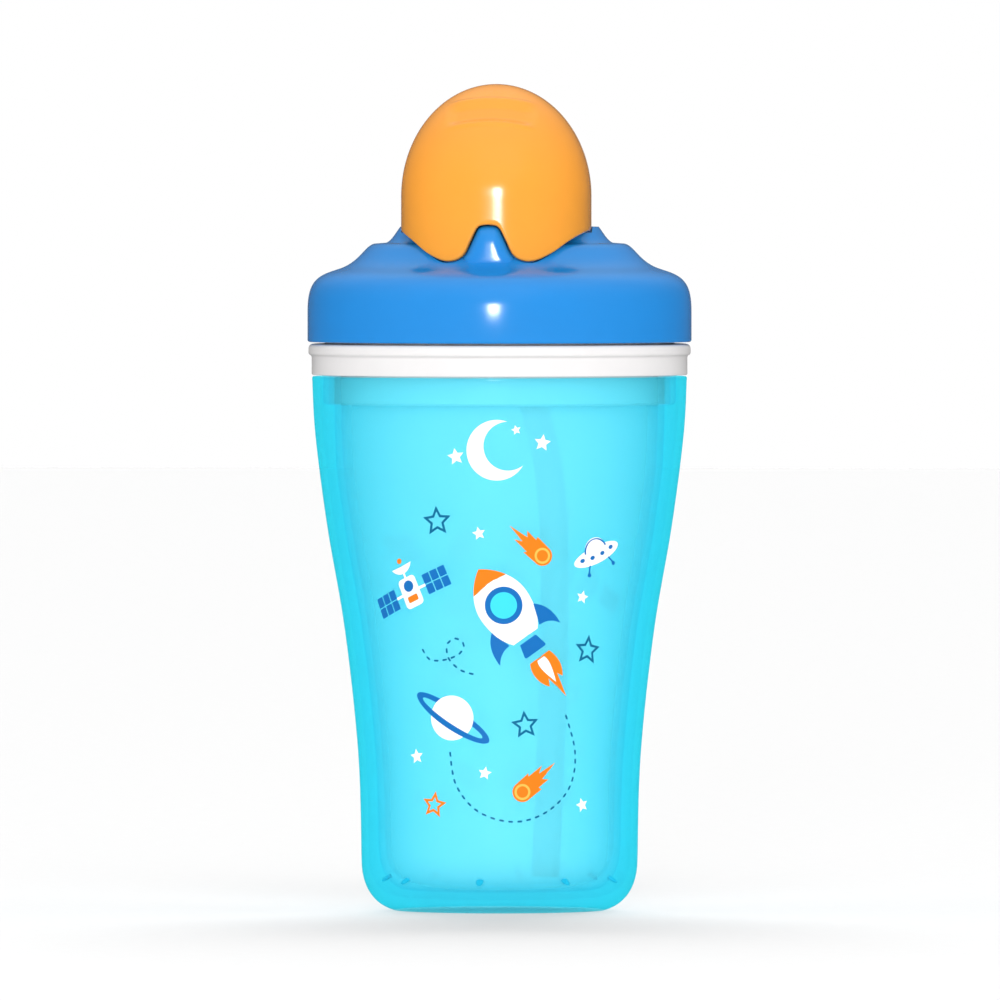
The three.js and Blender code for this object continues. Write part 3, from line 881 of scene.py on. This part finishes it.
def box(left, low, right, high, radius=0.3):
    corners = [(left, low, radius), (right, low, radius), (right, high, radius), (left, high, radius)]
    return rounded(corners, closed=True, steps=3)


def satellite(at, tilt):
    """A boxy probe with a dish above it and a panel of six cells on either side."""
    parts = [
        ("white", 0, box(-2.3, -3.4, 2.3, 3.4, 0.9)),
        ("orange", 1, box(-1.3, -2.2, 1.3, -0.8)),
        ("white", 0, box(-0.25, 3.2, 0.25, 5.2, 0.1)),
        ("white", 0, shifted(arc(3, 205, 335), 0, 7.4) + [(0, 6)]),
        ("orange", 0, shifted(oval(0.6, 0.6, 16), 0, 7.3)),
        ("blue", 1, shifted(oval(1.25, 1.25, 32), 0, 1.4)),
    ]
    for way in (-1, 1):
        left, right = sorted((2.2 * way, 4 * way))
        parts.append(("white", 0, box(left, -0.3, right, 0.3, 0.1)))
        for near in (4, 6, 8):
            left, right = sorted((near * way, (near + 1.75) * way))
            for low in (-2.3, 0.12):
                parts.append(("blue", 0, box(left, low, right, low + 2.18, 0.15)))
    return drawn(at, tilt, *parts)


def dashes(path, width=0.42, dash=1.05, gap=0.95):
    """An evenly dashed line along a path."""
    outline = box(-dash / 2, -width / 2, dash / 2, width / 2, 0.15)
    motifs = []
    to_next = dash / 2
    for a, b in zip(path, path[1:]):
        start, step = Vector(a), Vector(b) - Vector(a)
        heading = math.degrees(math.atan2(step.y, step.x))
        while to_next <= step.length:
            middle = start + step.normalized() * to_next
            motifs += drawn(middle, heading, ("teal", 0, outline))
            to_next += dash + gap
        to_next -= step.length
    return motifs


def design():
    """The whole print: a night-sky pattern of the script's own drawing."""
    bow = [(-11, 34.6), (-9.6, 27.4), (-4.6, 21.6), (3.2, 19.4)]
    bow += [(10.6, 21.6), (16, 27), (17.3, 34.4), (14.8, 43)]
    curl = [(-17.6, 57), (-15.8, 54.8), (-12.6, 54.6), (-9, 55.9), (-7.9, 58)]
    curl += [(-9.6, 59.3), (-11.6, 58), (-11.2, 54.9), (-8.4, 52.4), (-4.8, 51.4)]
    return [
        *moon((-0.6, 100.4), 6.6, 20),
        *star("white", (-9.6, 99), 1.9, 10),
        *star("white", (9.4, 102), 1.9, -8),
        *star("white", (3.6, 104.8), 1.1, 14),
        *star("teal", (-13.9, 84.9), 3.4, 4, 0.37),
        *star("teal", (20.4, 56.7), 3.4, -6, 0.37),
        *star("teal", (5.6, 40.5), 3.2, 6, 0.37),
        *star("orange", (-14.8, 23), 3, -8, 0.42),
        *star("white", (-4.5, 82.3), 1.5, 12),
        *star("white", (18.9, 68.3), 1.5, -14),
        *star("white", (-19.2, 33.5), 1.7, 8),
        *star("white", (-3.2, 30), 1.5, -10),
        *star("white", (19.2, 22.9), 1.6, 16),
        *comet((9.4, 77.4), 137),
        *comet((5, 25.9), 40),
        *saucer((22.6, 77.6), 22),
        *rocket((0.9, 66.6), 35),
        *satellite((-20.4, 69.4), 24),
        *planet((-10.6, 42), -32),
        *dashes(spline(bow, 24)),
        *dashes(spline(curl, 12)),
    ]


def inside(point, loops):
    """True if a point lies inside an odd number of the loops."""
    x, y = point
    crossings = 0
    for loop in loops:
        for (x0, y0), (x1, y1) in zip(loop, [*loop[1:], loop[0]]):
            if (y0 > y) != (y1 > y) and x < x0 + (x1 - x0) * (y - y0) / (y1 - y0):
                crossings += 1
    return crossings % 2 == 1


def filled(loops, mesh_size=1.3):
    """A flat mesh inside the loops, fine enough to lie on the round wall."""
    points, edges = [], []
    for loop in loops:
        first = len(points)
        points += loop
        edges += [(first + k, first + (k + 1) % len(loop)) for k in range(len(loop))]
    xs, ys = [x for x, _ in points], [y for _, y in points]
    for i in range(int(min(xs) / mesh_size), int(max(xs) / mesh_size) + 1):
        for j in range(int(min(ys) / mesh_size), int(max(ys) / mesh_size) + 1):
            point = (i * mesh_size, j * mesh_size)
            if inside(point, loops):
                points.append(point)
    verts, _, faces, *_ = delaunay_2d_cdt([Vector(p) for p in points], edges, [], 0, 1e-5)
    kept = []
    for face in faces:
        middle = sum((verts[k] for k in face), Vector((0, 0))) / len(face)
        if inside(middle, loops):
            kept.append(tuple(face))
    return [tuple(v) for v in verts], kept


def on_wall(point, lift, azimuth):
    """A point of the print laid on the shell. Its across is measured along the wall."""
    across, z = point[0], point[1] + PRINT_RISE
    radius = shell_radius(z)
    angle = math.radians(azimuth) + across / radius
    return (radius + lift) * math.sin(angle), -(radius + lift) * math.cos(angle), z


def add_print():
    """One object for each ink on the front, and the same again on the back."""
    motifs = design()
    inks = {name: ink_material(name, code) for name, code in INKS.items()}
    for side, azimuth in (("front", PRINT_AZIMUTH), ("back", PRINT_AZIMUTH + 180)):
        for ink, material in inks.items():
            shapes = []
            for _, layer, loops in [motif for motif in motifs if motif[0] == ink]:
                verts, faces = filled(loops)
                lift = INK_LIFT + INK_STEP * layer
                shapes.append(([on_wall(v, lift, azimuth) for v in verts], faces))
            film = solid(f"print_{ink}_{side}", joined(*shapes), "cup", material)
            film.visible_shadow = False


# ---------------------------------------------------------------- the cup
def add_tumbler():
    liner_plastic = liner_material()
    clear_shell = solid("cup_shell", shell(), "cup", shell_material())
    clear_inside(clear_shell, shell_inside_material())
    clear_shell.visible_shadow = False  # clear plastic that lets all light through to the liner
    clear_shell.visible_diffuse = False
    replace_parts(clear_shell, "outer_shell")
    solid("shell_nubs", spacer_nubs(), "cup", nub_shade_material())
    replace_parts(solid("cup_liner", liner(), "cup", liner_plastic), "inner_liner")
    neck_collar = solid("neck_collar", collar(), "cup", collar_material())
    milky_spigot(neck_collar, liner_plastic)
    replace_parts(neck_collar, "collar_ring")


def add_lid():
    blue, seal_silicone = lid_material(), seal_material()
    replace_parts(solid("seal_ring", gasket(), "lid_seal", seal_silicone), "lid_gasket")
    lid = solid("lid_body", turned(lid_profile()), "lid", blue)
    cut(lid, slot())
    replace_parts(lid, "screw_lid")
    solid("lid_thread_ridges", lid_threads(), "lid", blue)
    solid("latch_nose", nose(), "lid", blue, 60)
    solid("hinge_lugs", mirrored(ear()), "lid", blue)
    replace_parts(solid("vent_flap", valve(), "lid", seal_silicone), "vent_valve")


def add_cover():
    orange = cover_material()
    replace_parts(solid("cover_dome", cover_shell(), "cover", orange, 50), "flip_cover")
    solid("cover_barrel", cover_hinge(), "cover", orange)
    solid("cover_rib", straw_rib(), "cover", orange)


def add_straw():
    tube_plastic, silicone = tube_material(), straw_material()
    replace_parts(solid("dip_tube", tube(), "lid", tube_plastic), "straw_tube")
    straw = solid("soft_straw", straw_at_rest(), None, silicone, 50)
    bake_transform(straw)
    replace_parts(straw, "straw_spout", "straw_tip")


# ---------------------------------------------------------------- studio
def floor(reach=6):
    """A wide light floor that mirrors nothing and doesn't show in the cup's gloss."""
    mesh = bpy.data.meshes.new("floor")
    corners = [(-reach, -reach, 0), (reach, -reach, 0), (reach, reach, 0), (-reach, reach, 0)]
    mesh.from_pydata(corners, [], [(0, 1, 2, 3)])
    obj = bpy.data.objects.new("floor", mesh)
    bpy.context.scene.collection.objects.link(obj)
    mesh.materials.append(floor_material())
    obj.visible_glossy = False


def toward(azimuth, elevation):
    """The direction from the cup to an azimuth (0 at -Y, growing towards +X) and an elevation in degrees."""
    a, e = math.radians(azimuth), math.radians(elevation)
    return Vector((math.sin(a) * math.cos(e), -math.cos(a) * math.cos(e), math.sin(e)))


def aimed(name, data, direction, distance, aim):
    """A light or camera at a distance from a point, and turned to it."""
    obj = bpy.data.objects.new(name, data)
    obj.location = Vector(aim) + direction * distance
    obj.rotation_euler = direction.to_track_quat("Z", "Y").to_euler()
    bpy.context.scene.collection.objects.link(obj)
    return obj


def softbox(name, direction, distance, size, watts):
    """An area light whose reflection shows on the front of the glossy pieces."""
    light = bpy.data.lights.new(name, "AREA")
    light.shape = "RECTANGLE"
    light.size, light.size_y = size
    light.energy = watts
    aimed(name, light, direction, distance, (0, 0, 0.14))


def window(name, direction, strength, spread):
    """Wide soft light from a direction, the same all over the floor, which gloss doesn't mirror."""
    light = bpy.data.lights.new(name, "SUN")
    light.energy = strength
    light.angle = math.radians(spread)
    aimed(name, light, direction, 2, (0, 0, 0)).visible_glossy = False


def surroundings():
    """A white backdrop for the camera and an even room for soft light. Gloss mirrors a room that is bright in
    front of the cup and above it, and dim at its sides and behind."""
    world = bpy.data.worlds.new("studio")
    bpy.context.scene.world = world
    world.use_nodes = True
    nodes, links = world.node_tree.nodes, world.node_tree.links
    where = nodes.new("ShaderNodeTexCoord")
    parts = nodes.new("ShaderNodeSeparateXYZ")
    links.new(where.outputs["Generated"], parts.inputs["Vector"])
    back = nodes.new("ShaderNodeMapRange")
    back.inputs["From Min"].default_value = -1
    links.new(parts.outputs["Y"], back.inputs["Value"])
    level = nodes.new("ShaderNodeValToRGB")
    level.color_ramp.interpolation = "B_SPLINE"
    levels = ((0, 0.6), (0.5, 0.12), (1, 0.1))
    level.color_ramp.elements.new(levels[1][0])
    for stop, (position, value) in zip(level.color_ramp.elements, levels):
        stop.position = position
        stop.color = (value, value, value, 1)
    links.new(back.outputs["Result"], level.inputs["Fac"])
    lift = nodes.new("ShaderNodeMapRange")
    links.new(parts.outputs["Z"], lift.inputs["Value"])
    ceiling = nodes.new("ShaderNodeMath")
    ceiling.operation = "POWER"
    ceiling.inputs[1].default_value = 2
    links.new(lift.outputs["Result"], ceiling.inputs[0])
    sky = nodes.new("ShaderNodeMath")
    sky.operation = "MULTIPLY_ADD"
    sky.inputs[1].default_value = 1.2
    links.new(ceiling.outputs["Value"], sky.inputs[0])
    links.new(level.outputs["Color"], sky.inputs[2])
    path = nodes.new("ShaderNodeLightPath")
    unseen = nodes.new("ShaderNodeMix")
    unseen.inputs["A"].default_value = 0.58
    links.new(path.outputs["Is Glossy Ray"], unseen.inputs["Factor"])
    links.new(sky.outputs["Value"], unseen.inputs["B"])
    strength = nodes.new("ShaderNodeMix")
    strength.inputs["B"].default_value = 1
    links.new(path.outputs["Is Camera Ray"], strength.inputs["Factor"])
    links.new(unseen.outputs["Result"], strength.inputs["A"])
    nodes["Background"].inputs["Color"].default_value = (1, 1, 1, 1)
    links.new(strength.outputs["Result"], nodes["Background"].inputs["Strength"])


def camera(direction, distance=5.0, height_shown=0.2188, aim=(0.0001, 0, 0.0897)):
    """The scene's camera, far off, with a lens that shows a given height at the cup."""
    lens = bpy.data.cameras.new("camera")
    lens.lens = lens.sensor_width * distance / height_shown
    lens.clip_end = 50
    bpy.context.scene.camera = aimed("camera", lens, direction, distance, aim)


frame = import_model()
add_tumbler()
add_lid()
add_cover()
add_straw()
add_print()
floor()
softbox("front_box", toward(1, 4), 3, (0.3, 0.44), 28)
window("front_window", toward(8, 32), 1.15, 40)
window("back_window", toward(184, 41), 2.5, 40)
window("left_window", toward(-78, 12), 0.5, 60)
window("right_window", toward(87, 12), 0.6, 60)
surroundings()
camera(toward(4.5, 1))
bpy.context.scene.view_settings.view_transform = "Standard"
